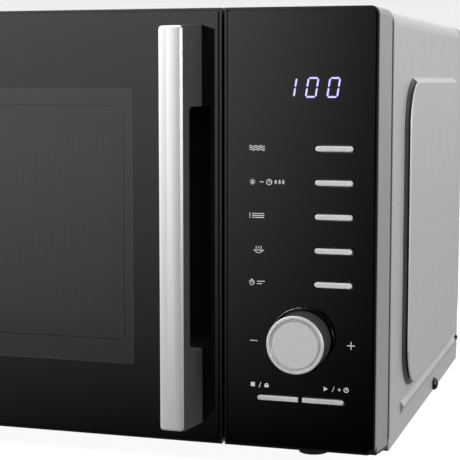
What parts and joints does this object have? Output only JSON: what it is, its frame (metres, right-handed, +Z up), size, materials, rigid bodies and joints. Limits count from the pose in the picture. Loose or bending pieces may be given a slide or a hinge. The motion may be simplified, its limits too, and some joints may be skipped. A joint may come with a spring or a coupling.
{
  "type": "microwave oven",
  "caption": "Countertop microwave oven with a black glass front, a side-hinged door with a tall bar handle, a key panel with a dial, and a silver cabinet.",
  "frame": {"origin": "on the surface the oven stands on, under the middle of its overall box", "axes": "+X to the right seen from the front, the front faces -Y, +Z up"},
  "size_m": [0.448, 0.364, 0.264],
  "materials": {
    "silver_paint": "satin silver paint",
    "silver_trim": "satin silver paint on plastic",
    "black_gloss": "gloss",
    "black_glass": "polished, back printed in black",
    "clear_film": "polished",
    "screen_steel": "black enamel on perforated steel",
    "black_plastic": "fine texture",
    "brushed_silver": "long vertical brushing",
    "handle_grey": "satin grey",
    "button_silver": "satin silver",
    "knob_grey": "ribbed",
    "galvanised": "galvanised sheet",
    "cavity_enamel": "grey enamel",
    "steel": "bright",
    "zinc_black": "black zinc",
    "copper": "enamelled copper winding",
    "aluminium": "plain",
    "mica": "mica sheet",
    "board_green": "solder mask",
    "white_plastic": "plain",
    "display_dark": "display window",
    "lamp_glass": "polished",
    "table_glass": "polished",
    "rubber": "matt"
  },
  "bodies": {
    "cabinet": {"cabinet_cover": "silver_paint", "base_plate": "galvanised", "rear_panel": "galvanised", "front_plate": "zinc_black", "cavity_shell": "cavity_enamel", "waveguide_cover": "mica", "waveguide": "steel", "magnetron_yoke": "galvanised", "magnetron_tube": "aluminium", "transformer_core": "steel", "transformer_windings": "copper", "high_voltage_capacitor": "aluminium", "high_voltage_diode": "black_plastic", "filter_board": "board_green", "fan_shroud": "white_plastic", "fan_motor": "steel", "lamp_holder": "white_plastic", "oven_lamp": "lamp_glass", "control_housing": "silver_trim", "panel_frame": "black_gloss", "panel_glass": "black_glass", "display_module": "display_dark", "control_board": "board_green", "encoder_body": "steel", "vent_baffles": "black_plastic", "latch_board": "white_plastic", "door_switches": "black_plastic", "cord_gland": "black_plastic", "cabinet_screws": "zinc_black", "feet": "rubber", "hinge_brackets": "steel", "turntable_motor": "steel"},
    "door": {"door_frame": "black_gloss", "door_glass": "black_glass", "door_screen": "screen_steel", "door_inner_cover": "black_plastic", "door_window_film": "clear_film", "handle_base": "handle_grey", "handle_bar": "brushed_silver", "handle_screws": "steel", "hinge_pins": "steel", "latch_spring": "steel"},
    "latch": {"latch_hooks": "white_plastic"},
    "dial": {"knob": "knob_grey", "knob_disc": "brushed_silver", "encoder_shaft": "steel"},
    "turntable": {"turntable_plate": "table_glass", "turntable_coupler": "white_plastic"},
    "ring": {"roller_ring": "white_plastic"},
    "fan": {"fan_blade": "white_plastic"},
    "key_micro": {"button_micro": "button_silver"},
    "key_defrost": {"button_defrost": "button_silver"},
    "key_menu": {"button_menu": "button_silver"},
    "key_reheat": {"button_reheat": "button_silver"},
    "key_timer": {"button_timer": "button_silver"},
    "key_stop": {"button_stop": "button_silver"},
    "key_start": {"button_start": "button_silver"},
    "wheel_1": {"roller_1": "white_plastic"},
    "wheel_2": {"roller_2": "white_plastic"},
    "wheel_3": {"roller_3": "white_plastic"}
  },
  "joints": [
    {"name": "door_swing", "type": "hinge", "parent": "cabinet", "child": "door", "pos_m": [-0.212, -0.1215, 0.139], "axis": [0, 0, -1], "range_deg": [0, 100]},
    {"name": "latch_lift", "type": "slide", "parent": "door", "child": "latch", "axis": [0, 0, 1], "range_m": [0, 0.004], "stiffness_N_per_m": 250, "springref_m": -0.003, "deforming": ["latch_spring"]},
    {"name": "knob_turn", "type": "hinge", "parent": "cabinet", "child": "dial", "pos_m": [0.1778, -0.16, 0.0778], "axis": [0, 1, 0], "continuous": true},
    {"name": "turntable_spin", "type": "hinge", "parent": "cabinet", "child": "turntable", "pos_m": [-0.046, 0.0256, 0.035], "axis": [0, 0, 1], "continuous": true},
    {"name": "roller_ring_spin", "type": "hinge", "parent": "cabinet", "child": "ring", "pos_m": [-0.046, 0.0256, 0.03515], "axis": [0, 0, 1], "continuous": true},
    {"name": "fan_spin", "type": "hinge", "parent": "cabinet", "child": "fan", "pos_m": [0.163, 0.16, 0.16], "axis": [0, 1, 0], "continuous": true},
    {"name": "roller_1_spin", "type": "hinge", "parent": "ring", "child": "wheel_1", "pos_m": [0.044, 0.0256, 0.03515], "axis": [1, 0, 0], "continuous": true},
    {"name": "roller_2_spin", "type": "hinge", "parent": "ring", "child": "wheel_2", "pos_m": [-0.091, 0.10354, 0.03515], "axis": [-0.5, 0.866, 0], "continuous": true},
    {"name": "roller_3_spin", "type": "hinge", "parent": "ring", "child": "wheel_3", "pos_m": [-0.091, -0.05234, 0.03515], "axis": [-0.5, -0.866, 0], "continuous": true},
    {"name": "micro_press", "type": "slide", "parent": "cabinet", "child": "key_micro", "axis": [0, 1, 0], "range_m": [0, 0.0012], "stiffness_N_per_m": 300, "springref_m": -0.001},
    {"name": "defrost_press", "type": "slide", "parent": "cabinet", "child": "key_defrost", "axis": [0, 1, 0], "range_m": [0, 0.0012], "stiffness_N_per_m": 300, "springref_m": -0.001},
    {"name": "menu_press", "type": "slide", "parent": "cabinet", "child": "key_menu", "axis": [0, 1, 0], "range_m": [0, 0.0012], "stiffness_N_per_m": 300, "springref_m": -0.001},
    {"name": "reheat_press", "type": "slide", "parent": "cabinet", "child": "key_reheat", "axis": [0, 1, 0], "range_m": [0, 0.0012], "stiffness_N_per_m": 300, "springref_m": -0.001},
    {"name": "timer_press", "type": "slide", "parent": "cabinet", "child": "key_timer", "axis": [0, 1, 0], "range_m": [0, 0.0012], "stiffness_N_per_m": 300, "springref_m": -0.001},
    {"name": "stop_press", "type": "slide", "parent": "cabinet", "child": "key_stop", "axis": [0, 1, 0], "range_m": [0, 0.0012], "stiffness_N_per_m": 300, "springref_m": -0.001},
    {"name": "start_press", "type": "slide", "parent": "cabinet", "child": "key_start", "axis": [0, 1, 0], "range_m": [0, 0.0012], "stiffness_N_per_m": 300, "springref_m": -0.001}
  ],
  "couplings": [
    {"joint": "roller_ring_spin", "follows": "turntable_spin", "ratio": 0.5},
    {"joint": "roller_1_spin", "follows": "turntable_spin", "ratio": -6.5693},
    {"joint": "roller_2_spin", "follows": "turntable_spin", "ratio": -6.5693},
    {"joint": "roller_3_spin", "follows": "turntable_spin", "ratio": -6.5693}
  ]
}
